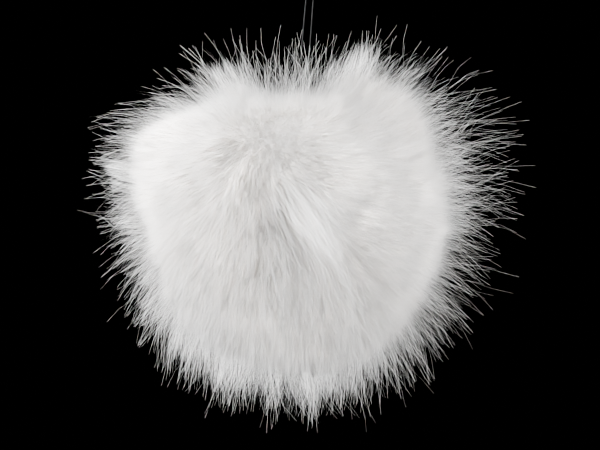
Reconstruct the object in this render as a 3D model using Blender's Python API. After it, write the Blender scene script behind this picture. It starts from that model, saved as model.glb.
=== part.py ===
"""A pom pom of long white pile, hanging on a doubled thread.

The pile is a ball that is drawn in at the top, where the thread comes out of it. Its dense part is
the backing. The outer pile stands on that backing as pointed locks, swept the way the pile is combed.

Metres, +Z up. The origin is the crown of the thread's loop, which is the point that the pom pom hangs
from. +X is the right-hand side of the pom pom seen from the front, and the front faces -Y.
A place on the ball is given by its turn from the front towards +X and its lift above the horizon.
"""

import math
import random
from collections import namedtuple

import bmesh
import bpy
from mathutils import Vector

# Driving sizes
BALL_DROP = 0.0695  # from the crown of the loop down to the middle of the ball
BODY_RADIUS = 0.0375  # the dense pile where no lobe raises it
LOCK_LENGTH = 0.0185  # a lock from its root to its tip, before the tables below change it
LOCK_COUNT = 300
LOCK_SPREAD = math.radians(4.2)  # from the middle of a lock's root to its corners, seen from the ball's middle
LOCK_SIDES = 4
LOCK_STEPS = 3  # lengths that a lock is built from, the last one running out to the point
LOCK_WIDTHS = (1.0, 0.86, 0.5)  # its width at its root and at each later step
LENGTH_VARIES = 0.16  # share by which one lock's length differs from the next
SWAY = 0.16  # how far a lock strays from the way its neighbours lie
SEED = 7

SEAT_RADIUS = 0.0026  # the small flat place at the top where the pile is drawn in round the thread
SEAT_HEIGHT = 0.0335  # that place above the ball's middle
SEAT_SIDES = 8
SEAT_CLEAR = math.radians(9.5)  # no lock grows nearer than this to the thread

THREAD_DIAMETER = 0.00035
THREAD_GAP = 0.0003  # between the thread's feet and the seat
THREAD_POINTS = 79
THREAD_SIDES_RESOLUTION = 2
# One strand of the thread and half of its loop, from the foot in the pile up to the crown: x, z.
STRAND = (
    (0.00125, SEAT_HEIGHT + THREAD_GAP - BALL_DROP),
    (0.00124, -0.0315),
    (0.00122, -0.0270),
    (0.00118, -0.0220),
    (0.00114, -0.0170),
    (0.00110, -0.0120),
    (0.00105, -0.0070),
    (0.00101, -0.0035),
    (0.00094, -0.0012),
    (0.00064, -0.0003),
)

# The lobes of the dense pile: where each one is, how far it rises or sinks, and how wide it is.
Lobe = namedtuple("Lobe", "name turn lift rise spread")
LOBES = (
    Lobe("right shoulder", 88, 57, 0.0112, 21),
    Lobe("left shoulder", -88, 34, 0.0095, 26),
    Lobe("left flank", -92, 14, 0.0020, 20),
    Lobe("right flank", 92, 16, 0.0040, 28),
    Lobe("bottom", 50, -66, 0.0015, 26),
    Lobe("front crown", -20, 52, 0.0034, 27),
    Lobe("back crown", 172, 44, 0.0045, 32),
    Lobe("drawn-in top", 0, 90, -0.0060, 19),
    Lobe("front parting", 12, 20, -0.0025, 16),
    Lobe("front belly", -18, -18, 0.0035, 34),
    Lobe("back belly", 165, -14, 0.0040, 40),
)

# How the pile is combed: round each place it leans this way, this strongly.
Stroke = namedtuple("Stroke", "name turn lift x y z strength spread")
STROKES = (
    Stroke("left flank", -55, 8, -1.0, 0.0, -0.10, 1.0, 34),
    Stroke("right flank", 52, 8, 1.0, 0.0, -0.05, 1.0, 34),
    Stroke("lower front", -8, -38, 0.0, 0.0, -1.0, 1.0, 36),
    Stroke("tuft beside the parting", 8, 6, 0.55, 0.0, -0.85, 0.8, 18),
    Stroke("left crown", -50, 58, -0.5, 0.0, 0.75, 0.5, 26),
    Stroke("right crown", 55, 58, 0.6, 0.0, 0.70, 0.5, 26),
    Stroke("back", 180, 5, 0.25, 0.0, -1.0, 0.9, 60),
)
DROOP = 0.35  # how far its own weight bends all of the pile down
COMB = 1.0  # how far the strokes bend it

# How long the outer pile is, as a share of LOCK_LENGTH more or less.
Growth = namedtuple("Growth", "name turn lift share spread")
GROWTHS = (
    Growth("left shoulder", -90, 30, -0.14, 22),
    Growth("lower left", -90, -28, -0.16, 26),
    Growth("right flank", 90, 8, 0.26, 32),
    Growth("right shoulder", 88, 54, -0.12, 22),
    Growth("bottom", 0, -90, -0.24, 48),
    Growth("top", 0, 90, 0.30, 24),
)

PILE_COLOUR = (0.93, 0.925, 0.915, 1.0)
THREAD_COLOUR = (0.78, 0.79, 0.80, 1.0)


def clear_scene():
    for item in list(bpy.data.objects):
        bpy.data.objects.remove(item, do_unlink=True)


def place(turn, lift):
    """The direction from the ball's middle to a place given in degrees."""
    turn, lift = math.radians(turn), math.radians(lift)
    return Vector((math.sin(turn) * math.cos(lift), -math.cos(turn) * math.cos(lift), math.sin(lift)))


def nearness(direction, row):
    """1 at a row's place, falling off smoothly with the angle from it."""
    angle = direction.angle(place(row.turn, row.lift))
    return math.exp(-((angle / math.radians(row.spread)) ** 2))


def body_radius(direction):
    return BODY_RADIUS + sum(lobe.rise * nearness(direction, lobe) for lobe in LOBES)


def lock_length(direction):
    return LOCK_LENGTH * (1 + sum(growth.share * nearness(direction, growth) for growth in GROWTHS))


def lean(direction):
    """Which way the pile lies over at a place, along the surface."""
    pull = Vector((0.0, 0.0, -DROOP * (1 - 0.5 * max(direction.z, 0.0))))
    for stroke in STROKES:
        way = Vector((stroke.x, stroke.y, stroke.z))
        pull += COMB * stroke.strength * nearness(direction, stroke) * way
    return pull - pull.dot(direction) * direction


def root_directions():
    """Evenly spread places, a golden angle apart down the ball, less those round the thread."""
    golden = math.pi * (3 - math.sqrt(5))
    for i in range(LOCK_COUNT):
        height = 1 - (2 * i + 1) / LOCK_COUNT
        reach = math.sqrt(1 - height * height)
        direction = Vector((reach * math.cos(golden * i), reach * math.sin(golden * i), height))
        if direction.angle(Vector((0, 0, 1))) > SEAT_CLEAR:
            yield direction


def ring_round(direction, along):
    """The corners of a lock's root on the unit sphere, one of them pointing the way the lock leans."""
    side = direction.cross(along)
    corners = []
    for k in range(LOCK_SIDES):
        turn = 2 * math.pi * k / LOCK_SIDES
        off = along * math.cos(turn) + side * math.sin(turn)
        corners.append((direction * math.cos(LOCK_SPREAD) + off * math.sin(LOCK_SPREAD)).normalized())
    return corners


def seat_ring():
    """The corners of the flat seat, measured from the ball's middle."""
    turns = [2 * math.pi * (k + 0.5) / SEAT_SIDES for k in range(SEAT_SIDES)]
    return [Vector((SEAT_RADIUS * math.cos(t), SEAT_RADIUS * math.sin(t), SEAT_HEIGHT)) for t in turns]


def grow_lock(mesh, root, direction, way, length, widths):
    """Builds one lock on the ring of vertices at its root: rings along its bent middle line, then a point."""
    middle = sum((corner.co for corner in root), Vector()) / len(root)
    spokes = [corner.co - middle for corner in root]
    ring, step = root, length / LOCK_STEPS
    for k in range(1, LOCK_STEPS + 1):
        heading = (direction + way * (k / LOCK_STEPS)).normalized()
        middle = middle + heading * step
        if k == LOCK_STEPS:
            point = mesh.verts.new(middle)
            for a, b in zip(ring, ring[1:] + ring[:1]):
                mesh.faces.new((a, b, point))
            return
        turned = direction.rotation_difference(heading)
        after = [mesh.verts.new(middle + turned @ spoke * widths[k]) for spoke in spokes]
        for i in range(len(ring)):
            j = (i + 1) % len(ring)
            mesh.faces.new((ring[i], ring[j], after[j], after[i]))
        ring = after


def make_pile(material):
    """The ball: a skin drawn tight over all the roots and the seat, with a lock grown from each root."""
    draw = random.Random(SEED)
    mesh = bmesh.new()
    locks = []
    for direction in root_directions():
        sway = Vector([draw.uniform(-SWAY, SWAY) for _ in range(3)])
        way = lean(direction) + sway - sway.dot(direction) * direction
        length = lock_length(direction) * (1 + draw.uniform(-LENGTH_VARIES, LENGTH_VARIES))
        root = [mesh.verts.new(corner) for corner in ring_round(direction, way.normalized())]
        locks.append((root, direction, way, length))
    seat = [mesh.verts.new(corner.normalized()) for corner in seat_ring()]
    bmesh.ops.convex_hull(mesh, input=mesh.verts)

    owner = {corner: i for i, (root, *_) in enumerate(locks) for corner in root}
    covered = [f for f in mesh.faces if len({owner.get(v, -1) for v in f.verts}) == 1 and f.verts[0] in owner]
    bmesh.ops.delete(mesh, geom=covered, context="FACES_ONLY")
    loose = [e for e in mesh.edges if not e.link_faces]
    bmesh.ops.delete(mesh, geom=loose, context="EDGES")
    for corner in owner:
        corner.co = corner.co * body_radius(corner.co)
    for corner, at in zip(seat, seat_ring()):
        corner.co = at
    for root, direction, way, length in locks:
        grow_lock(mesh, root, direction, way, length, LOCK_WIDTHS)

    bmesh.ops.recalc_face_normals(mesh, faces=mesh.faces)
    data = bpy.data.meshes.new("pom_pom")
    mesh.to_mesh(data)
    mesh.free()
    data.materials.append(material)
    ball = bpy.data.objects.new("pom_pom", data)
    ball.location = (0, 0, -BALL_DROP)
    bpy.context.scene.collection.objects.link(ball)
    return ball


def smooth_route(stations, count):
    """That many points on the smooth curve through the stations, each span a cubic set by its neighbours."""
    spans = len(stations) - 1
    ends = [2 * stations[0] - stations[1]] + stations + [2 * stations[-1] - stations[-2]]
    points = []
    for n in range(count):
        at = spans * n / (count - 1)
        i = min(int(at), spans - 1)
        t = at - i
        a, b, c, d = ends[i : i + 4]
        points.append(
            0.5 * (2 * b + (c - a) * t + (2 * a - 5 * b + 4 * c - d) * t**2 + (3 * b - a - 3 * c + d) * t**3)
        )
    return points


def make_thread(material):
    """The doubled thread, up from the seat, over at the crown and down to the seat again."""
    right = [Vector((x, 0.0, z)) for x, z in STRAND]
    left = [Vector((-x, 0.0, z)) for x, z in reversed(STRAND)]
    stations = right + [Vector((0, 0, 0))] + left
    route = smooth_route(stations, THREAD_POINTS)
    curve = bpy.data.curves.new("hanging_thread", "CURVE")
    curve.dimensions = "3D"
    curve.bevel_depth = THREAD_DIAMETER / 2
    curve.bevel_resolution = THREAD_SIDES_RESOLUTION
    curve.use_fill_caps = True
    spline = curve.splines.new("POLY")
    spline.points.add(len(route) - 1)
    for point, at in zip(spline.points, route):
        point.co = (*at, 1.0)
    curve.materials.append(material)
    thread = bpy.data.objects.new("hanging_thread", curve)
    bpy.context.scene.collection.objects.link(thread)
    return thread


def finish(name, colour, roughness, metallic=0.0):
    material = bpy.data.materials.new(name)
    material.use_nodes = True
    shader = material.node_tree.nodes["Principled BSDF"]
    shader.inputs["Base Color"].default_value = colour
    shader.inputs["Roughness"].default_value = roughness
    shader.inputs["Metallic"].default_value = metallic
    return material


def main():
    clear_scene()
    make_pile(finish("white pile", PILE_COLOUR, 0.75))
    make_thread(finish("clear thread", THREAD_COLOUR, 0.25))


main()
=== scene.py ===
# %% [markdown]
# # A white pom pom, hair by hair
#
# The real thing is a disc of long-pile fur cloth, gathered into a ball and hung on a doubled thread.
# Nothing of it shows but the pile, so the pile is what this lesson makes: a closed base, a thick
# under-pile that fills the ball, finer cover hairs combed over its front, and guard hairs and long hairs
# that stand out and draw its soft outline. Tufts, strands, a light lock and curls grow in places of their
# own. It starts from the fixed frame, whose solids say where the ball and the thread are.

import math
from collections import namedtuple

import bpy
import numpy as np
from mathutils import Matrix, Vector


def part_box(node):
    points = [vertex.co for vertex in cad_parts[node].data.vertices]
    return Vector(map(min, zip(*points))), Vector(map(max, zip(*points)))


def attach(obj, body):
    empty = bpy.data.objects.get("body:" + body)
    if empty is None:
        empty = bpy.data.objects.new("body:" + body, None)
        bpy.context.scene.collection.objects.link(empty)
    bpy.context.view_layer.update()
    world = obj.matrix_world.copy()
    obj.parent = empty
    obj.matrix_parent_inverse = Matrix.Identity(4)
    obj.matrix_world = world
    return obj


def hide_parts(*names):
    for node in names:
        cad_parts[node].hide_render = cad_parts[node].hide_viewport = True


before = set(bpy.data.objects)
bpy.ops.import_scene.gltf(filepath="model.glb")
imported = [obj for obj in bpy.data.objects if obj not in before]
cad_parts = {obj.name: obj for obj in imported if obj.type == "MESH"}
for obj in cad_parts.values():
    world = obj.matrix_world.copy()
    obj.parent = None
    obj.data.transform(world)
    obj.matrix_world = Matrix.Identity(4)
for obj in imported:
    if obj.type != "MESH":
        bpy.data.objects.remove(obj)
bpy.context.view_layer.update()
ball_low, ball_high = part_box("pom_pom")
print("the ball's solid spans", [round(1000 * (b - a), 1) for a, b in zip(ball_low, ball_high)], "mm")

# %% [markdown]
# ## The camera
#
# The pom pom is photographed level, with a long lens, and the picture is turned a little, so that the
# thread leans to the right. The camera here is a 100 mm lens at the distance where the picture's width
# covers the same width of the pom pom. A shorter lens would swell the middle of the ball. The camera is
# rolled by the thread's lean.

# %% The camera
BALL_MIDDLE = np.array([0.0, 0.0, -0.0695])
PICTURE_WIDTH = 0.168
LENS_MM = 100.0
SENSOR_MM = 36.0
PICTURE_ROLL = math.radians(4.6)
PICTURE_CENTRE = (0.0024, 0.0030)
NEAREST_SEEN = 0.01


def new_object(name, data):
    """An object that shows the given data, linked to the scene."""
    made = bpy.data.objects.new(name, data)
    bpy.context.scene.collection.objects.link(made)
    return made


def make_camera():
    """A level camera in front of the ball, aimed at the picture's centre and rolled about its own axis.
    Its distance is the picture's width times the lens over the sensor."""
    lens = bpy.data.cameras.new("camera")
    lens.lens = LENS_MM
    lens.sensor_width = SENSOR_MM
    lens.clip_start = NEAREST_SEEN
    camera = new_object("camera", lens)
    distance = PICTURE_WIDTH * LENS_MM / SENSOR_MM
    right, up = PICTURE_CENTRE
    camera.location = (right, -distance, BALL_MIDDLE[2] + up)
    camera.rotation_euler = (math.radians(90), 0, 0)
    camera.rotation_euler.rotate_axis("Z", PICTURE_ROLL)
    bpy.context.scene.camera = camera
    return distance


print("camera distance", round(make_camera(), 3), "m")

# %% [markdown]
# ## The thread
#
# One length of thin clear thread is sewn into the gathered top and doubled. It could be a straight
# cylinder, but a real thread under a light load keeps a slight curve and a rounded loop. A curve with a
# round bevel through the route's own points gives that, and it keeps the thread's real length.

# %% The thread's route and its curve
THREAD_DIAMETER = 0.00035
THREAD_FOOT = -0.0357
STRAND = (
    (0.00125, THREAD_FOOT),
    (0.00124, -0.0315),
    (0.00122, -0.0270),
    (0.00118, -0.0220),
    (0.00114, -0.0170),
    (0.00110, -0.0120),
    (0.00105, -0.0070),
    (0.00101, -0.0035),
    (0.00094, -0.0012),
    (0.00064, -0.0003),
)
THREAD_POINTS = 79
BEVEL_STEPS = 3


def thread_route():
    """The smooth curve through the strand's points, the crown at the origin and the mirrored strand.
    Each span is a cubic set by its two ends and their neighbours, read at even steps."""
    up = [(x, 0.0, z) for x, z in STRAND]
    down = [(-x, 0.0, z) for x, z in reversed(STRAND)]
    stations = np.array(up + [(0.0, 0.0, 0.0)] + down)
    ends = np.vstack([2 * stations[0] - stations[1], stations, 2 * stations[-1] - stations[-2]])
    at = np.linspace(0, len(stations) - 1, THREAD_POINTS)
    span = np.minimum(at.astype(int), len(stations) - 2)
    t = (at - span)[:, None]
    a, b, c, d = (ends[span + k] for k in range(4))
    return 0.5 * (2 * b + (c - a) * t + (2 * a - 5 * b + 4 * c - d) * t**2 + (3 * b - a - 3 * c + d) * t**3)


def make_thread():
    """A round bevel along the route. The bevel is one metre, and each point's radius of half the thread's
    diameter scales it down. The length is the sum of the distances from point to point."""
    route = thread_route()
    curve = bpy.data.curves.new("thread", "CURVE")
    curve.dimensions = "3D"
    curve.bevel_depth = 1.0
    curve.bevel_resolution = BEVEL_STEPS
    curve.use_fill_caps = True
    spline = curve.splines.new("POLY")
    spline.points.add(len(route) - 1)
    spline.points.foreach_set("co", np.column_stack([route, np.ones(len(route))]).ravel())
    spline.points.foreach_set("radius", np.full(len(route), THREAD_DIAMETER / 2))
    length = float(np.linalg.norm(np.diff(route, axis=0), axis=1).sum())
    return new_object("thread", curve), length


thread, thread_length = make_thread()
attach(thread, "root")
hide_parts("hanging_thread")
print("thread", round(1000 * thread_length, 1), "mm long")

# %% [markdown]
# ## Places on the ball
#
# Everything about the pile depends on where it grows, so each place is named by its turn from the front
# towards the right and its lift above the horizon, in degrees. The pile could be shaped with a brush,
# but rows of places can be read and changed. A row acts fully at its own place and fades smoothly round
# it, as a hand pressing or stroking the pile would.

# %% Directions and how near they are to a place


def unit(vectors):
    """The vectors over their own lengths."""
    return vectors / np.linalg.norm(vectors, axis=-1, keepdims=True)


def towards(turn, lift):
    """Unit vector from the ball's middle: turn 0 is the front, 90 the right, and lift 90 the top."""
    turn, lift = np.radians(turn), np.radians(lift)
    return np.stack([np.sin(turn) * np.cos(lift), -np.cos(turn) * np.cos(lift), np.sin(lift)], axis=-1)


def nearness(ways, turn, lift, spread):
    """exp(-(angle / spread) squared), the angle being that between each way and the place."""
    angle = np.degrees(np.arccos(np.clip(ways @ towards(turn, lift), -1, 1)))
    return np.exp(-((angle / spread) ** 2))


def nearness_to_line(ways, row):
    """The same, with the angle to the nearest place on the line from the row's start to its end."""
    start, end = towards(row.turn, row.lift), towards(row.end_turn, row.end_lift)
    share = np.clip((ways - start) @ (end - start) / ((end - start) @ (end - start)), 0, 1)
    closest = unit(start + share[:, None] * (end - start))
    angle = np.degrees(np.arccos(np.clip((ways * closest).sum(-1), -1, 1)))
    return np.exp(-((angle / row.spread) ** 2))


def along_surface(vectors, ways):
    """What is left of the vectors once their part along the outward ways is taken out."""
    return vectors - (vectors * ways).sum(-1, keepdims=True) * ways


# %% [markdown]
# ## The ball's lumps and folds
#
# A gathered ball is never round. This one has two high shoulders with the drawn-in top between them,
# fuller sides and a flatter lower left. On its front the pile falls apart into a left and a right mass
# with a lock between them. Sculpting would do it by hand. Tables keep the place and the height of each
# lump in plain sight, so the pile stays near its solid. The radius is a base value plus soft lobes and
# narrow folds that run along lines. A ridge is in the hairs and not in the cloth, so the roots under it lie
# deeper below the surface.

# %% The lobes, the folds and the radius of the dense pile
BODY_RADIUS = 0.0375
Lobe = namedtuple("Lobe", "name turn lift rise spread")
LOBES = (
    Lobe("right shoulder", 88, 58, 0.0105, 19),
    Lobe("right tuft", 88, 71, 0.0036, 8),
    Lobe("left tuft", -88, 66, 0.0030, 8),
    Lobe("left shoulder", -88, 32, 0.0105, 22),
    Lobe("right flank", 92, 22, 0.0040, 24),
    Lobe("upper right", 90, 46, 0.0020, 14),
    Lobe("left waist", -92, -16, -0.0044, 24),
    Lobe("lower left", -60, -60, -0.0030, 30),
    Lobe("bottom", 20, -84, -0.0030, 34),
    Lobe("front crown", -20, 52, 0.0020, 28),
    Lobe("back crown", 172, 44, 0.0040, 32),
    Lobe("front belly", -30, -18, 0.0040, 34),
    Lobe("right mass", 52, 10, 0.0030, 26),
    Lobe("left mass", -52, 20, 0.0030, 26),
    Lobe("back belly", 165, -14, 0.0040, 40),
)
Fold = namedtuple("Fold", "name turn lift end_turn end_lift rise spread")
FOLDS = (
    Fold("left ridge", -82, 66, -35, 43, 0.0032, 7),
    Fold("right ridge", 6, 49, 48, 68, 0.0026, 8),
    Fold("left valley", -27, 34, -38, 12, -0.0018, 7),
    Fold("edge of the column", -25, 38, -19, 12, 0.0012, 5),
    Fold("light lock", -8, 25, 13, -3, 0.0040, 6),
    Fold("right valley", 13, 27, 19, 8, -0.0032, 11),
    Fold("right valley, foot", 21, 8, 33, -20, -0.0024, 10),
    Fold("middle hollow", -1, 0, 8, -30, -0.0034, 12),
    Fold("drawn-in top", -90, 84, 90, 86, -0.0050, 16),
)
ROOT_SHARE = 0.6


def fold_rise(ways):
    """The sum of the folds' rises, each times its nearness."""
    return sum(row.rise * nearness_to_line(ways, row) for row in FOLDS)


def dense_radius(ways):
    """The base radius plus each row's rise times its nearness."""
    lobes = sum(row.rise * nearness(ways, row.turn, row.lift, row.spread) for row in LOBES)
    return BODY_RADIUS + lobes + fold_rise(ways)


def root_drop(ways):
    """The backing has no ridges of its own, so on a ridge the roots lie deeper, by a share of its rise."""
    return ROOT_SHARE * np.maximum(fold_rise(ways), 0)


print("dense radius at the front", round(1000 * float(dense_radius(towards(0, 0)[None])[0]), 1), "mm")

# %% [markdown]
# ## How the pile is combed
#
# The pile parts on the upper front and runs away from there: to the left, to the right, down the front,
# and up round the thread. Each stroke below says which way the pile lies at one place and how flat it
# lies. They do what a comb does to a hair system, in a form that gives the same pile each time. Between
# the strokes the lie is their weighted mean, so the partings form by themselves where two disagree.

# %% The comb strokes and the lean that they give
Stroke = namedtuple("Stroke", "name turn lift right up flat spread")
STROKES = (
    Stroke("up from the parting", -15, 70, 0.0, 1.0, 0.7, 10),
    Stroke("up to the left tuft", -44, 57, -0.7, 0.75, 0.7, 9),
    Stroke("above the parting, left", -26, 60, 0.1, 1.0, 0.6, 7),
    Stroke("above the parting, right", 0, 70, 0.5, 0.8, 0.7, 8),
    Stroke("up to the right tuft", 33, 66, 0.75, 0.65, 1.1, 10),
    Stroke("left mass, top", -62, 44, -0.6, -0.8, 1.0, 12),
    Stroke("left mass, root", -39, 34, -0.2, -0.95, 1.9, 9),
    Stroke("left mass, upper", -64, 30, -0.4, -0.9, 1.1, 12),
    Stroke("left mass, middle", -47, 15, -0.1, -1.0, 1.5, 12),
    Stroke("left mass, lower", -52, -1, -0.05, -1.0, 1.3, 13),
    Stroke("left flank", -84, 12, -0.9, -0.2, 0.3, 16),
    Stroke("left haunch", -47, -17, 0.15, -1.0, 1.3, 14),
    Stroke("lower left", -55, -41, -0.15, -1.0, 1.0, 16),
    Stroke("left column, top", -25, 39, 0.4, -0.9, 2.6, 8),
    Stroke("left column, shoulder", -22, 24, 0.35, -0.95, 2.2, 9),
    Stroke("left column, middle", -24, 7, 0.25, -0.95, 1.9, 11),
    Stroke("left column, lower", -24, -13, 0.25, -0.95, 1.5, 13),
    Stroke("left column, foot", -24, -39, 0.15, -1.0, 1.1, 16),
    Stroke("under the parting, left", -19, 47, 0.4, -0.9, 2.6, 7),
    Stroke("middle, top", -15, 32, 0.4, -0.9, 2.5, 8),
    Stroke("middle, upper", -11, 19, 0.4, -0.9, 2.2, 8),
    Stroke("middle", -9, 6, 0.4, -0.9, 1.9, 10),
    Stroke("middle, lower", -4, -13, 0.3, -0.95, 1.5, 12),
    Stroke("middle, foot", 4, -42, 0.2, -1.0, 1.1, 16),
    Stroke("under the parting, right", -6, 53, 0.3, -0.95, 2.6, 7),
    Stroke("light lock, root", -4, 31, 0.45, -0.9, 2.3, 8),
    Stroke("light lock, upper", 2, 21, 0.6, -0.8, 2.2, 8),
    Stroke("light lock", 9, 11, 0.55, -0.85, 2.0, 8),
    Stroke("light lock, end", 17, -2, 0.45, -0.9, 1.7, 9),
    Stroke("strands right of the lock", 14, 15, 0.8, -0.55, 1.8, 7),
    Stroke("below the light lock", 17, -22, 0.2, -1.0, 1.3, 12),
    Stroke("right of the parting", 10, 50, 0.65, -0.75, 2.2, 9),
    Stroke("right mass, root", 15, 32, 0.8, -0.6, 2.3, 10),
    Stroke("right mass", 35, 20, 0.95, -0.35, 1.7, 15),
    Stroke("right mass, top", 39, 46, 0.75, -0.65, 1.2, 13),
    Stroke("upper right", 77, 52, 1.0, 0.05, 0.6, 14),
    Stroke("right flank", 84, 8, 0.9, -0.1, 0.3, 18),
    Stroke("right haunch", 39, -2, 0.9, -0.45, 1.3, 13),
    Stroke("right haunch, lower", 51, -20, 0.6, -0.8, 1.0, 13),
    Stroke("lower right", 35, -29, 0.3, -0.95, 1.1, 14),
    Stroke("left side", -96, -14, 0.0, -1.0, 0.55, 22),
    Stroke("left side, lower", -96, -42, 0.0, -1.0, 0.95, 20),
    Stroke("right side", 98, -20, 0.0, -1.0, 0.35, 22),
    Stroke("right side, lower", 96, -45, 0.0, -1.0, 0.8, 20),
    Stroke("back, upper left", -150, 35, 0.5, -0.6, 1.3, 32),
    Stroke("back, upper right", 150, 30, -0.3, -0.8, 1.4, 32),
    Stroke("back, middle", 180, -5, 0.1, -1.0, 1.5, 36),
    Stroke("underneath", 0, -88, 0.0, 0.0, 0.0, 20),
    Stroke("round the thread", 0, 88, 0.0, 0.0, 0.0, 14),
)
FAR_SHARE = 1e-5


def east_and_north(turn, lift):
    """The two directions along the surface at a place, towards larger turns and larger lifts."""
    east = np.array([math.cos(math.radians(turn)), math.sin(math.radians(turn)), 0.0])
    return east, np.cross(towards(turn, lift), east)


def comb(ways):
    """The mean of the strokes' leans, weighted by nearness, laid along the surface."""
    pull = np.zeros_like(ways)
    total = np.full(len(ways), FAR_SHARE)
    for row in STROKES:
        east, north = east_and_north(row.turn, row.lift)
        near = nearness(ways, row.turn, row.lift, row.spread)
        pull += near[:, None] * row.flat * (row.right * east + row.up * north)
        total += near
    return along_surface(pull / total[:, None], ways)


# %% [markdown]
# ## One hair
#
# A hair leaves the cloth nearly upright, bends over the way it is combed and sinks a little under its own
# weight. A simulation could find that, slowly. Here a hair's line is the running sum of short straight
# steps whose heading turns from one to the other. Thousands are worked out at once, as one array of hairs
# by steps by three.
#
# Two things keep neighbouring hairs from lying like the teeth of a comb. Each hair has a small lean of its
# own, and all of them follow a slow drift, a few waves that cross each other over the ball.

# %% The drift
DRIFT_SEED = 5
DRIFT_WAVES = 40
DRIFT_PITCH = (9, 34)
DRIFT_LEAN = 0.16
DRIFT_RISE = 0.0009


def make_waves():
    """Directions over the ball at random, each with its pitch, its start and the way it pushes."""
    draw = np.random.default_rng(DRIFT_SEED)
    pitch = unit(draw.normal(0, 1, (DRIFT_WAVES, 3))) * draw.uniform(*DRIFT_PITCH, (DRIFT_WAVES, 1))
    push = unit(draw.normal(0, 1, (DRIFT_WAVES, 3)))
    return pitch, draw.uniform(0, 2 * math.pi, DRIFT_WAVES), push


WAVES = make_waves()


def drift(ways):
    """The sum of the waves' pushes, each times the sine of its place, over the root of their number."""
    pitch, start, push = WAVES
    return np.sin(ways @ pitch.T + start) @ push * math.sqrt(2 / DRIFT_WAVES)


def pile_radius(ways):
    """The dense radius, a little higher or lower where the drift pushes out or in."""
    return dense_radius(ways) + DRIFT_RISE * (drift(ways) * ways).sum(-1)


def lie(ways):
    """The comb's lean plus the drift's part along the surface."""
    return comb(ways) + along_surface(DRIFT_LEAN * drift(ways), ways)


# %% Even places and the lines of the hairs
EARLY_LEAN = 0.35
NEAREST_PARTS = 24


def even_places(count, jitter, draw):
    """Places a golden angle apart down the ball, each moved by a small random amount."""
    height = 1 - (2 * np.arange(count) + 1) / count
    turn = np.arange(count) * math.pi * (3 - math.sqrt(5))
    reach = np.sqrt(1 - height**2)
    ways = np.stack([reach * np.cos(turn), reach * np.sin(turn), height], axis=-1)
    return unit(ways + draw.normal(0, jitter, ways.shape))


def grow(ways, start, length, lean, curl, sag, steps):
    """Headings are the outward way, plus a growing share of the lean, plus the curl times the sine of
    the way along, less a sag that grows with its square, all made unit length. The line is the root
    plus their running sum."""
    share = (np.arange(steps) + 0.5) / steps
    bend = EARLY_LEAN + (1 - EARLY_LEAN) * share
    headings = ways[:, None, :] + lean[:, None, :] * bend[None, :, None]
    headings += curl[:, None, :] * np.sin(2 * math.pi * share)[None, :, None]
    headings[:, :, 2] -= sag[:, None] * share[None, :] ** 2
    moves = unit(headings) * (length / steps)[:, None, None]
    root = ways * start[:, None]
    return np.concatenate([root[:, None, :], root[:, None, :] + np.cumsum(moves, axis=1)], axis=1)


def nearest(ways, centres):
    """The index of the centre with the largest dot product, one part of the hairs after the other."""
    parts = np.array_split(ways, NEAREST_PARTS)
    return np.concatenate([np.argmax(part @ centres.T, axis=1) for part in parts])


# %% [markdown]
# ## How long the pile is, and how it gathers
#
# The pile stands out farther at the right and on top than at the left. In places it gathers into tufts and
# wisps, and by the parting it lies ruffled. All of this could be brushed in, but tables of places serve
# again. A growth makes the hairs longer. A tuft draws them towards one line of its own. A clump closes the
# wisps and makes them more uneven. A ruffle lets single hairs stray and curl.

# %% How long the pile is
Growth = namedtuple("Growth", "name turn lift share spread")
GROWTHS = (
    Growth("right flank", 92, 4, 0.22, 26),
    Growth("lower right", 88, -28, 0.14, 16),
    Growth("upper right", 90, 36, 0.45, 15),
    Growth("right shoulder", 88, 62, -0.06, 14),
    Growth("top", 0, 90, 0.16, 26),
    Growth("upper left", -90, 26, -0.04, 14),
    Growth("left flank", -90, 4, 0.12, 16),
    Growth("left haunch", -90, -42, 0.06, 24),
    Growth("bottom", 0, -90, 0.04, 36),
)


def length_share(ways):
    """One plus each growth's share times its nearness."""
    return 1 + sum(row.share * nearness(ways, row.turn, row.lift, row.spread) for row in GROWTHS)


# %% Where tufts stand up
GUARD_LENGTH = 0.0155
TIP_GATHER = 1.3
Tuft = namedtuple("Tuft", "name turn lift length lean_right lean_up hold spread")
TUFTS = (
    Tuft("right shoulder", 88, 74, 0.0162, 0.0, 0.15, 0.88, 7),
    Tuft("left shoulder", -88, 66, 0.0105, 0.0, 0.15, 0.75, 8),
    Tuft("left flank", -88, 17, 0.0152, 0.0, -0.1, 0.75, 7),
    Tuft("lower left flank", -87, 2, 0.0124, 0.0, -0.2, 0.70, 7),
    Tuft("left haunch", -88, -18, 0.0120, 0.0, -0.4, 0.60, 7),
    Tuft("light lock", 2, 11, 0.0185, 1.5, -2.3, 0.65, 7),
)


def tip_share(steps):
    """How far each point of a hair follows its wisp or tuft: the way along, to a power."""
    return np.linspace(0, 1, steps + 1) ** TIP_GATHER


def draw_into_tufts(ways, lines, layer):
    """Near a tuft each line moves towards the tuft's own, by its hold, its nearness and the way along."""
    share = tip_share(layer.steps)[None, :, None]
    for row in TUFTS:
        way = towards(row.turn, row.lift)[None]
        east, north = east_and_north(row.turn, row.lift)
        lean = (row.lean_right * east + row.lean_up * north)[None]
        length = np.array([row.length * layer.length / GUARD_LENGTH])
        start = dense_radius(way) - layer.depth
        guide = grow(way, start, length, lean, 0 * lean, np.zeros(1), layer.steps)
        near = nearness(ways, row.turn, row.lift, row.spread)
        lines = lines + (guide - lines) * (row.hold * near[:, None, None] * share)
    return lines


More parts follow.
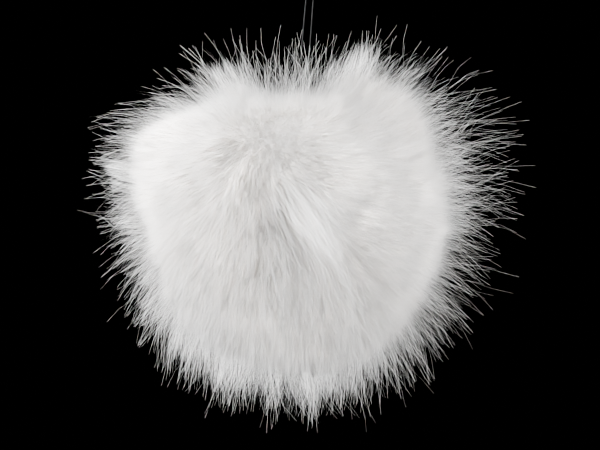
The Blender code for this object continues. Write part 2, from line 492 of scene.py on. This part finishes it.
# %% Where the wisps close and where hairs stray
Clump = namedtuple("Clump", "name turn lift more spread")
CLUMPS = (
    Clump("left side", -90, -6, 0.75, 34),
    Clump("right side", 90, 5, 0.35, 28),
    Clump("underneath", 0, -90, 0.50, 44),
    Clump("top", 0, 90, 0.12, 30),
    Clump("upper left", -90, 38, 0.30, 18),
    Clump("upper right", 90, 45, 0.25, 18),
)


def clumped(ways):
    """How much more than elsewhere the hairs of a wisp draw together."""
    return sum(row.more * nearness(ways, row.turn, row.lift, row.spread) for row in CLUMPS)


Ruffle = namedtuple("Ruffle", "name layer turn lift more spread")
RUFFLES = (
    Ruffle("on the parting, left", "", -16, 48, 2.7, 10),
    Ruffle("on the parting, right", "", -3, 52, 1.9, 10),
    Ruffle("curls by the parting", "", 4, 32, 1.6, 8),
    Ruffle("middle of the front", "", 6, 8, 0.4, 16),
    Ruffle("lower front", "under_pile", -4, -24, 0.5, 26),
    Ruffle("right side", "under_pile", 92, 6, 1.0, 34),
    Ruffle("left side", "under_pile", -92, 6, 0.5, 34),
    Ruffle("underneath", "under_pile", 0, -90, 0.8, 30),
)


def ruffled(ways, name):
    """How much more than elsewhere the hairs stray and curl. A row with no layer acts on them all."""
    rows = [row for row in RUFFLES if row.layer in ("", name)]
    return sum(row.more * nearness(ways, row.turn, row.lift, row.spread) for row in rows)


# %% [markdown]
# ## One kind of hair
#
# Fur cloth has several kinds of hair. Each kind grows in the same steps here as in a hair system: places
# spread evenly over the ball, a share of them kept, a guide line for each wisp, a line for each hair, and
# the hairs drawn towards their wisp's guide at the tips. Arrays are used instead of a hair system, so that
# every step can be seen and the result is plain mesh. A patch says how much of a kind grows where.

# %% Where each kind grows
# A spread of several hundred degrees acts nearly evenly all over the ball.
Patch = namedtuple("Patch", "layer turn lift spread share")
PATCHES = (
    Patch("under_pile", 0, 0, 900, 0.82),
    Patch("under_pile", 0, 4, 50, 0.18),
    Patch("cover_hair", 0, 0, 900, 0.27),
    Patch("cover_hair", 0, 2, 36, 0.73),
    Patch("cover_hair", 180, -5, 38, 0.25),
    Patch("lock_hair", 0, 17, 6, 1.0),
    Patch("front_strand", 4, 4, 26, 1.0),
    Patch("curl_hair", -14, 47, 9, 0.9),
    Patch("curl_hair", 4, 40, 11, 0.9),
    Patch("tuft_hair", 88, 74, 6, 1.0),
    Patch("tuft_hair", -88, 66, 6, 0.5),
    Patch("tuft_hair", -88, 17, 6, 0.5),
    Patch("tuft_hair", -86, 2, 6, 0.4),
    Patch("guard_hair", 0, 0, 400, 0.48),
    Patch("guard_hair", 90, 38, 20, 0.64),
    Patch("guard_hair", 90, -34, 20, 0.15),
    Patch("guard_hair", 90, -2, 20, -0.42),
    Patch("guard_hair", 0, 88, 26, -0.20),
    Patch("guard_hair", -90, 20, 24, -0.12),
    Patch("guard_hair", -90, -36, 20, 0.36),
    Patch("long_hair", 0, 0, 400, 0.48),
    Patch("long_hair", 90, 38, 20, 0.66),
    Patch("long_hair", 90, -34, 20, 0.22),
    Patch("long_hair", 90, -2, 20, -0.30),
    Patch("long_hair", 0, 88, 26, -0.12),
    Patch("long_hair", -90, 20, 24, -0.12),
    Patch("long_hair", -90, -36, 20, 0.36),
)


def kept_share(ways, name):
    """The share of the hairs that stays at each place: the sum of the patches' shares by nearness."""
    patches = [row for row in PATCHES if row.layer == name]
    return sum(row.share * nearness(ways, row.turn, row.lift, row.spread) for row in patches)


# %% The wisps of one kind
Layer = namedtuple(
    "Layer", "name hairs steps length varies depth thickness tip wisps hold stray curl sag grows"
)
Wisps = namedtuple("Wisps", "centres length hold sag guides")
WISP_JITTER = 0.8
WISP_UNEVEN = 0.3
WISP_CURL = 0.5
HOLD_RANGE = (0.2, 1.0)
SAG_RANGE = (0.5, 1.5)


def make_wisps(layer, draw):
    """Wisps at even places, each with a length, hold and sag of its own, and a guide grown as a hair is."""
    centres = even_places(layer.wisps, WISP_JITTER / math.sqrt(layer.wisps), draw)
    lean = lie(centres) + along_surface(draw.normal(0, layer.stray, centres.shape), centres)
    uneven = layer.varies * (WISP_UNEVEN + clumped(centres))
    length = layer.length * (1 + uneven * draw.uniform(-1, 1, layer.wisps))
    length = length * length_share(centres) ** layer.grows
    hold = (layer.hold + clumped(centres)) * draw.uniform(*HOLD_RANGE, layer.wisps)
    sag = layer.sag * draw.uniform(*SAG_RANGE, layer.wisps)
    curl = along_surface(draw.normal(0, WISP_CURL * layer.curl, centres.shape), centres)
    start = pile_radius(centres) - layer.depth
    guides = grow(centres, start, length, lean, curl, sag, layer.steps)
    return Wisps(centres, length, hold, sag, guides)


# %% The hairs of one kind
HAIR_JITTER = 0.6


def grow_layer(layer, draw):
    """Every hair has the pile's lie, its wisp's length and sag, and a stray, a curl and a length of its
    own on top. Towards its tip it is drawn to its wisp's guide, by a share that grows with the way
    along."""
    ways = even_places(layer.hairs, HAIR_JITTER / math.sqrt(layer.hairs), draw)
    ways = ways[draw.uniform(0, 1, len(ways)) < kept_share(ways, layer.name)]
    wisps = make_wisps(layer, draw)
    mine = nearest(ways, wisps.centres)
    ruffle = 1 + ruffled(ways, layer.name)[:, None]
    stray = ruffle * along_surface(draw.normal(0, layer.stray, ways.shape), ways)
    curl = ruffle * along_surface(draw.normal(0, layer.curl, ways.shape), ways)
    length = wisps.length[mine] * (1 + draw.uniform(-layer.varies, layer.varies, len(ways)))
    start = pile_radius(ways) - layer.depth
    lines = grow(ways, start, length, lie(ways) + stray, curl, wisps.sag[mine], layer.steps)
    lines[:, 0] -= ways * root_drop(ways)[:, None]
    pull = wisps.hold[mine][:, None, None] * tip_share(layer.steps)[None, :, None]
    return ways, draw_into_tufts(ways, lines + (wisps.guides[mine] - lines) * pull, layer)


# %% [markdown]
# ## From lines to hairs
#
# A real hair is a thin round fibre with a fine end. It could be a curve with a bevel, but tens of
# thousands of curves are slow and heavy. A tube of three sides, closed at both ends, looks round at this
# size and costs only a few triangles. All hairs of a piece become one mesh. Its map gives each hair a
# column: across is the hair's shade, and up is the way from its root to its tip, so one material can
# colour them all.

# %% Thin tubes as one mesh
SIDES = 3
COLUMN = 0.02
MAP_MARGIN = 0.01
CAP_HEIGHT = 0.03
ASIDE = np.array([0.31, 0.17, 0.93])


def tube_points(lines, thickness, tip, phase):
    """Ring k of a hair is its line's point plus half the thickness, turned round the heading, from a side
    square to a fixed slanting direction. The width runs evenly from the full one at the root to the tip's
    share of it at the end. A tip of no width is a single point."""
    steps = lines.shape[1] - 1
    headings = unit(np.diff(lines, axis=1))
    headings = np.concatenate([headings, headings[:, -1:]], axis=1)
    across = np.cross(headings[:, 0], ASIDE)[:, None, :]
    side = unit(along_surface(np.broadcast_to(across, headings.shape), headings))
    other = np.cross(headings, side)
    width = 0.5 * thickness[:, None] * (1 + (tip - 1) * np.arange(steps + 1) / steps)[None, :]
    angle = phase[:, None] + np.arange(SIDES) * 2 * math.pi / SIDES
    ring = (
        np.cos(angle)[:, None, :, None] * side[:, :, None, :]
        + np.sin(angle)[:, None, :, None] * other[:, :, None, :]
    )
    rings = lines[:, :, None, :] + width[:, :, None, None] * ring
    points = rings.reshape(len(lines), -1, 3)
    return points if tip else points[:, : SIDES * steps + 1]


def tube_faces(steps, pointed):
    """The triangles of one hair and each corner's place on the map, as (column share, height)."""
    last = SIDES * steps
    corners, places = [(0, 2, 1)], [((0.0, 0.0), (1.0, 0.0), (0.5, CAP_HEIGHT))]
    if not pointed:
        corners.append((last, last + 1, last + 2))
        places.append(((0.0, 1.0), (1.0, 1.0), (0.5, 1 - CAP_HEIGHT)))
    for k in range(steps):
        low, high = k / steps, (k + 1) / steps
        for i in range(SIDES):
            j = (i + 1) % SIDES
            a, b, c, d = SIDES * k + i, SIDES * k + j, SIDES * (k + 1) + j, SIDES * (k + 1) + i
            left, right = i / (SIDES - 1), j / (SIDES - 1)
            foot, beside, across = (left, low), (right, low), (right, high)
            if pointed and k == steps - 1:
                corners.append((a, b, last))
                places.append((foot, beside, (0.5 * (left + right), high)))
                continue
            corners += [(a, b, c), (a, c, d)]
            places += [(foot, beside, across), (foot, across, (left, high))]
    return np.array(corners), np.array(places)


def hair_mesh(name, lines, thickness, tip, shade, phase):
    """All hairs as one mesh: the same triangles for every hair, shifted by its number of points."""
    points = tube_points(lines, thickness, tip, phase)
    corners, places = tube_faces(lines.shape[1] - 1, not tip)
    per_hair = points.shape[1]
    faces = (corners[None] + per_hair * np.arange(len(lines))[:, None, None]).reshape(-1, 3)
    across = shade[:, None, None] * (1 - COLUMN) + COLUMN * places[None, :, :, 0]
    height = np.broadcast_to(places[None, :, :, 1], across.shape)
    spots = np.stack([across, height], axis=-1) * (1 - 2 * MAP_MARGIN) + MAP_MARGIN
    mesh = bpy.data.meshes.new(name)
    mesh.vertices.add(points.shape[0] * per_hair)
    mesh.vertices.foreach_set("co", points.astype(np.float32).ravel())
    mesh.loops.add(faces.size)
    mesh.loops.foreach_set("vertex_index", faces.astype(np.int32).ravel())
    mesh.polygons.add(len(faces))
    mesh.polygons.foreach_set("loop_start", np.arange(0, faces.size, 3, dtype=np.int32))
    mesh.update(calc_edges=True)
    mesh.validate()
    mesh.uv_layers.new(name="OFBake").data.foreach_set("uv", spots.astype(np.float32).ravel())
    mesh.shade_smooth()
    return mesh


# %% [markdown]
# ## The finish of the hairs
#
# White fibre is bright because light passes from hair to hair. Near the roots, where the hairs are packed,
# it lies in a warmer, duller shade. Clear fibres would show that at a high cost, so a share of the
# light spreads inside the under-pile and the cover hairs instead. The guard hairs stand free of each
# other, so theirs stays where it falls. The colour runs from root to tip up the map. Its warmer, duller
# root is painted shade, and the under-pile's tips are painted a little greyer than the cover and guard
# hairs' tips, as painted shade under the top hairs. A slow noise across the map makes some hairs a shade
# greyer than their neighbours at random. The sheen gives the soft bloom.

# %% The hair material
# The warmer, duller root colour is painted shade: the shade between the packed hairs near their roots.
ROOT_PAINTED_SHADE = (0.85, 0.81, 0.775, 1.0)
# The under-pile's tips are painted greyer than the cover and guard tips. This is painted shade under the
# top hairs, whose tips are painted the lighter, as if lit.
TIP_WHITE = (0.905, 0.89, 0.875, 1.0)
COVER_TIP_WHITE = (0.94, 0.93, 0.92, 1.0)
GUARD_TIP_WHITE = (0.95, 0.95, 0.945, 1.0)
TIP_COLOUR_FROM = 0.75
SHADE_PITCH = 7.0
DULLEST_SHADE = (0.90, 0.90, 0.90, 1.0)
FULL_SHADE = (1.0, 1.0, 1.0, 1.0)
ROOT_ROUGHER = 0.12
SHEEN_ROUGHNESS = 0.4
HAIR_GLOSS = 0.35
SPREAD_SCALE = 0.0020
SPREAD_COLOUR = (1.0, 0.95, 0.9)


def new_material(name):
    """A material with its node tree and the shader in it."""
    material = bpy.data.materials.new(name)
    material.use_nodes = True
    tree = material.node_tree
    return material, tree, tree.nodes["Principled BSDF"]


def add(tree, kind, **settings):
    """A new node of the tree, with the settings given by name."""
    node = tree.nodes.new(kind)
    for key, value in settings.items():
        setattr(node, key, value)
    return node


def ramp(tree, stops):
    """A colour ramp through the given (place, colour) stops."""
    node = add(tree, "ShaderNodeValToRGB")
    for element, (place, colour) in zip(node.color_ramp.elements, stops):
        element.position = place
        element.color = colour
    return node


def spread_light(shader, share):
    """A share of the light that falls on a hair comes out again within about two millimetres."""
    shader.subsurface_method = "BURLEY"
    shader.inputs["Subsurface Weight"].default_value = share
    shader.inputs["Subsurface Radius"].default_value = SPREAD_COLOUR
    shader.inputs["Subsurface Scale"].default_value = SPREAD_SCALE


def hair_material(name, root, tip, roughness, sheen, spread):
    """The colour up the map, with painted shade at the root, times the tone across it, rougher at the root,
    with sheen and spread light.
    """
    material, tree, shader = new_material(name)
    spots = add(tree, "ShaderNodeUVMap", uv_map="OFBake")
    split = add(tree, "ShaderNodeSeparateXYZ")
    tree.links.new(spots.outputs["UV"], split.inputs[0])
    along = ramp(tree, ((0.0, root), (TIP_COLOUR_FROM, tip)))
    tree.links.new(split.outputs["Y"], along.inputs["Fac"])
    column = add(tree, "ShaderNodeCombineXYZ")
    tree.links.new(split.outputs["X"], column.inputs["X"])
    noise = add(tree, "ShaderNodeTexNoise")
    noise.inputs["Scale"].default_value = SHADE_PITCH
    noise.inputs["Detail"].default_value = 1.0
    tree.links.new(column.outputs[0], noise.inputs["Vector"])
    shade = ramp(tree, ((0.3, DULLEST_SHADE), (0.7, FULL_SHADE)))
    tree.links.new(noise.outputs["Fac"], shade.inputs["Fac"])
    mix = add(tree, "ShaderNodeMix", data_type="RGBA", blend_type="MULTIPLY")
    mix.inputs["Factor"].default_value = 1.0
    tree.links.new(along.outputs["Color"], mix.inputs["A"])
    tree.links.new(shade.outputs["Color"], mix.inputs["B"])
    tree.links.new(mix.outputs["Result"], shader.inputs["Base Color"])
    rough = add(tree, "ShaderNodeMapRange")
    rough.inputs["To Min"].default_value = roughness + ROOT_ROUGHER
    rough.inputs["To Max"].default_value = roughness
    tree.links.new(split.outputs["Y"], rough.inputs["Value"])
    tree.links.new(rough.outputs["Result"], shader.inputs["Roughness"])
    shader.inputs["Sheen Weight"].default_value = sheen
    shader.inputs["Sheen Roughness"].default_value = SHEEN_ROUGHNESS
    shader.inputs["Specular IOR Level"].default_value = HAIR_GLOSS
    spread_light(shader, spread)
    return material


# The under-pile's greyer tips are painted shade under the cover and guard hairs.
under_white = hair_material("under-pile white", ROOT_PAINTED_SHADE, TIP_WHITE, 0.62, 0.1, 0.9)
cover_white = hair_material("cover hair white", ROOT_PAINTED_SHADE, COVER_TIP_WHITE, 0.55, 0.25, 0.8)
guard_white = hair_material("guard hair white", ROOT_PAINTED_SHADE, GUARD_TIP_WHITE, 0.45, 0.3, 0.0)

# %% [markdown]
# ## The base of the pile
#
# Between the hairs the eye meets their packed lower ends. Growing those too would cost far more hairs than
# ever show, so a closed skin with the ball's own lumps stands for them, felted by a fine bump. Its warm
# grey-white, like the roots' colour, is painted shade of the gaps between the hairs, and its mottle is tone
# at random.

# %% The base
BASE_DEPTH = 0.0030
BASE_TURNS = 144
BASE_LIFTS = 96


def make_base():
    """A ball of rings at even turns and lifts, with a pole above and below. Its radius is the dense
    radius less the roots' drop and the base's depth."""
    lifts = np.linspace(90, -90, BASE_LIFTS + 1)[1:-1]
    turns = np.arange(BASE_TURNS) * 360 / BASE_TURNS
    ways = towards(*np.meshgrid(turns, lifts)).reshape(-1, 3)
    ways = np.vstack([ways, towards(0, 90), towards(0, -90)])
    points = ways * (dense_radius(ways) - root_drop(ways) - BASE_DEPTH)[:, None] + BALL_MIDDLE
    rows = np.arange(len(lifts) - 1)[:, None] * BASE_TURNS
    here = np.arange(BASE_TURNS)
    after = (here + 1) % BASE_TURNS
    low, high = rows + BASE_TURNS, rows
    quads = np.stack([low + here, low + after, high + after, high + here], axis=-1).reshape(-1, 4)
    top, bottom = len(ways) - 2, len(ways) - 1
    last = (len(lifts) - 1) * BASE_TURNS
    caps = [(int(a), int(b), top) for a, b in zip(here, after)]
    caps += [(int(b), int(a), bottom) for a, b in zip(last + here, last + after)]
    mesh = bpy.data.meshes.new("pile_base")
    mesh.from_pydata(points.tolist(), [], quads.tolist() + caps)
    mesh.shade_smooth()
    return new_object("pile_base", mesh)


# %% The finish of the base
FELT_GRAIN = 900.0
# Both felt colours are warmer and greyer than the hair tips: painted shade of the gaps, mottled at random.
SHADED_FELT_DARK = (0.80, 0.775, 0.75, 1.0)
SHADED_FELT_LIGHT = (0.88, 0.86, 0.84, 1.0)
FELT_BUMP = 0.0004


def felt_material():
    """A warm grey-white of painted shade, mottled at random by a noise in the object's own coordinates,
    with the same noise as a fine bump.
    """
    material, tree, shader = new_material("packed roots painted shade")
    place = add(tree, "ShaderNodeTexCoord")
    noise = add(tree, "ShaderNodeTexNoise")
    noise.inputs["Scale"].default_value = FELT_GRAIN
    noise.inputs["Detail"].default_value = 3.0
    tree.links.new(place.outputs["Object"], noise.inputs["Vector"])
    tint = ramp(tree, ((0.3, SHADED_FELT_DARK), (0.7, SHADED_FELT_LIGHT)))
    tree.links.new(noise.outputs["Fac"], tint.inputs["Fac"])
    tree.links.new(tint.outputs["Color"], shader.inputs["Base Color"])
    bump = add(tree, "ShaderNodeBump")
    bump.inputs["Strength"].default_value = 0.5
    bump.inputs["Distance"].default_value = FELT_BUMP
    tree.links.new(noise.outputs["Fac"], bump.inputs["Height"])
    tree.links.new(bump.outputs["Normal"], shader.inputs["Normal"])
    shader.inputs["Roughness"].default_value = 0.9
    return material


base = make_base()
base.data.materials.append(felt_material())
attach(base, "root")
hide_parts("pom_pom")
print("base", len(base.data.polygons), "faces")

# %% [markdown]
# ## The layers of hair
#
# Eight kinds of hair make the pile. The under-pile is short, thick and close, and fills the ball. Cover
# hairs lie over it, most of them on the front. Guard hairs and long hairs are thin and sparse and stand
# out past it round the edge. Tuft hairs, front strands, lock hairs and curl hairs grow only in their own
# patches. Each kind could be one mesh, but that would be heavy to handle, so it is cut into a front, a
# right, a back and a left piece, and a piece of only a few hairs is left out. Light spreads only inside
# a piece, so a clean cut would show as a seam, and the hairs of neighbouring pieces mix at their border.

# %% The layers
SEED = 11
QUARTERS = ("front", "right", "back", "left")
LAYERS = (
    Layer("under_pile", 165000, 1, 0.0086, 0.32, 0.0040, 0.00014, 0.0, 2400, 0.12, 0.28, 0.0, 0.10, 0),
    Layer("cover_hair", 20000, 3, 0.0160, 0.30, 0.0030, 0.00007, 0.0, 1400, 0.16, 0.28, 0.25, 0.15, 0),
    Layer("guard_hair", 15000, 3, 0.0150, 0.32, 0.0040, 0.000024, 1.2, 900, 0.45, 0.30, 0.30, 0.25, 0.5),
    Layer("long_hair", 6000, 5, 0.0205, 0.24, 0.0040, 0.000022, 1.5, 700, 0.40, 0.38, 0.30, 0.30, 1.2),
    Layer("tuft_hair", 90000, 3, 0.0165, 0.25, 0.0030, 0.00010, 0.0, 300, 0.30, 0.22, 0.15, 0.10, 0),
    Layer("front_strand", 16000, 5, 0.0180, 0.25, 0.0030, 0.00008, 0.6, 900, 0.25, 0.28, 0.35, 0.25, 0),
    Layer("lock_hair", 80000, 5, 0.0195, 0.20, 0.0020, 0.00010, 0.4, 600, 0.30, 0.16, 0.25, 0.20, 0),
    Layer("curl_hair", 26000, 6, 0.0120, 0.35, 0.0030, 0.00005, 0.9, 9000, 0.10, 0.50, 0.80, 0.10, 0),
)
MATERIALS = {"under_pile": under_white, "cover_hair": cover_white, "front_strand": cover_white}
FEWEST_HAIRS = 20
MIXED_BORDER = 24
QUARTER = 90
THICKNESS_RANGE = (0.8, 1.2)


def place_hairs(layer, ways, lines, draw):
    """One mesh for each quarter of the ball, by the turn of the roots, moved by up to the mixed border to
    either side by the hair's own phase. It gives back the number of triangles."""
    turn = np.degrees(np.arctan2(ways[:, 0], -ways[:, 1]))
    thickness = layer.thickness * draw.uniform(*THICKNESS_RANGE, len(ways))
    shade = draw.uniform(0, 1, len(ways))
    phase = draw.uniform(0, 2 * math.pi, len(ways))
    mixed = turn + MIXED_BORDER * (phase / math.pi - 1)
    quarter = np.floor(((mixed + QUARTER / 2) % 360) / QUARTER).astype(int) % len(QUARTERS)
    triangles = 0
    for k, side in enumerate(QUARTERS):
        mine = quarter == k
        if mine.sum() < FEWEST_HAIRS:
            continue
        mesh = hair_mesh(
            f"{layer.name}_{side}",
            lines[mine] + BALL_MIDDLE,
            thickness[mine],
            layer.tip,
            shade[mine],
            phase[mine],
        )
        mesh.materials.append(MATERIALS.get(layer.name, guard_white))
        piece = new_object(mesh.name, mesh)
        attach(piece, "root")
        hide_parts("pom_pom")
        print(piece.name, int(mine.sum()), "hairs,", len(mesh.polygons), "triangles")
        triangles += len(mesh.polygons)
    return triangles


hair_triangles = 0
for number, layer in enumerate(LAYERS):
    draw = np.random.default_rng(SEED + number)
    ways, lines = grow_layer(layer, draw)
    hair_triangles += place_hairs(layer, ways, lines, draw)
print("hair triangles", hair_triangles)

# %% [markdown]
# ## The thread's finish
#
# Clear monofilament reads as a thin grey line: it shows a little of what is behind it and a bright streak
# where it mirrors the lamps. Clear plastic with refraction would be slow and noisy at this size. Before a
# black room a nearly black, glossy surface with a slight change of tone along it looks the same.

# %% The thread's material
THREAD_PITCH = 260.0
THREAD_DARK = (0.008, 0.008, 0.008, 1.0)
THREAD_LIGHT = (0.014, 0.014, 0.0145, 1.0)


def thread_material():
    """A dark gloss whose tone follows a slow noise in the object's own coordinates."""
    material, tree, shader = new_material("clear thread")
    place = add(tree, "ShaderNodeTexCoord")
    noise = add(tree, "ShaderNodeTexNoise")
    noise.inputs["Scale"].default_value = THREAD_PITCH
    tree.links.new(place.outputs["Object"], noise.inputs["Vector"])
    tint = ramp(tree, ((0.35, THREAD_DARK), (0.65, THREAD_LIGHT)))
    tree.links.new(noise.outputs["Fac"], tint.inputs["Fac"])
    tree.links.new(tint.outputs["Color"], shader.inputs["Base Color"])
    shader.inputs["Roughness"].default_value = 0.3
    shader.inputs["Specular IOR Level"].default_value = 0.25
    return material


thread.data.materials.append(thread_material())

# %% [markdown]
# ## The studio
#
# The pom pom hangs before black, so its hairs stand out against it. One small lamp would draw hard
# shadows between the hairs, so large soft ones are used: the main one at the left and a little in front,
# a weak one above the front, a smaller one at the right, a weak one overhead, and one on each side from
# behind for the hairs of the outline. A plain pale floor lies below, out of the main view.

# %% The floor, the lamps and the black room
FLOOR_DROP = 0.42
FLOOR_RADIUS = 0.45
FLOOR_SIDES = 96
FLOOR_COLOUR = (0.62, 0.61, 0.60, 1.0)
EXPOSURE = 1.36
Lamp = namedtuple("Lamp", "name x y z size watts")
LAMPS = (
    Lamp("main", -0.91, -0.45, 0.10, 1.00, 15.8),
    Lamp("front fill", 0.35, -0.80, 0.60, 1.20, 1.9),
    Lamp("right", 0.88, -0.43, 0.02, 0.60, 5.3),
    Lamp("left edge", -0.60, 0.55, 0.10, 0.50, 0.8),
    Lamp("right edge", 0.60, 0.55, 0.10, 0.50, 0.3),
    Lamp("overhead", 0.0, -0.05, 0.80, 0.60, 2.4),
)


def make_floor():
    """A round disc: points at even turns on a circle, joined into one face."""
    turns = np.arange(FLOOR_SIDES) * 2 * math.pi / FLOOR_SIDES
    level = np.full(FLOOR_SIDES, BALL_MIDDLE[2] - FLOOR_DROP)
    rim = np.stack([FLOOR_RADIUS * np.cos(turns), FLOOR_RADIUS * np.sin(turns), level], axis=-1)
    mesh = bpy.data.meshes.new("floor")
    mesh.from_pydata(rim.tolist(), [], [tuple(range(FLOOR_SIDES))])
    material, tree, shader = new_material("pale floor")
    shader.inputs["Base Color"].default_value = FLOOR_COLOUR
    shader.inputs["Roughness"].default_value = 0.8
    mesh.materials.append(material)
    floor = new_object("floor", mesh)


def make_lamp(row):
    """A square area lamp at its place from the ball's middle, tipped and turned to face that middle."""
    light = bpy.data.lights.new(row.name, "AREA")
    light.size = row.size
    light.energy = row.watts
    lamp = new_object(row.name, light)
    lamp.location = BALL_MIDDLE + np.array([row.x, row.y, row.z])
    level = math.hypot(row.x, row.y)
    lamp.rotation_euler = (math.atan2(level, row.z), 0, math.atan2(row.x, -row.y))


make_floor()
for row in LAMPS:
    make_lamp(row)

world = bpy.data.worlds.new("black room")
world.use_nodes = True
world.node_tree.nodes["Background"].inputs["Color"].default_value = (0, 0, 0, 1)
bpy.context.scene.world = world
view = bpy.context.scene.view_settings
view.view_transform = "AgX"
view.look = "AgX - High Contrast"
view.exposure = EXPOSURE

# %% [markdown]
# ## Sizes
#
# The pile may stand a little proud of the solid, and no more.

# %% The end
bpy.context.view_layer.update()
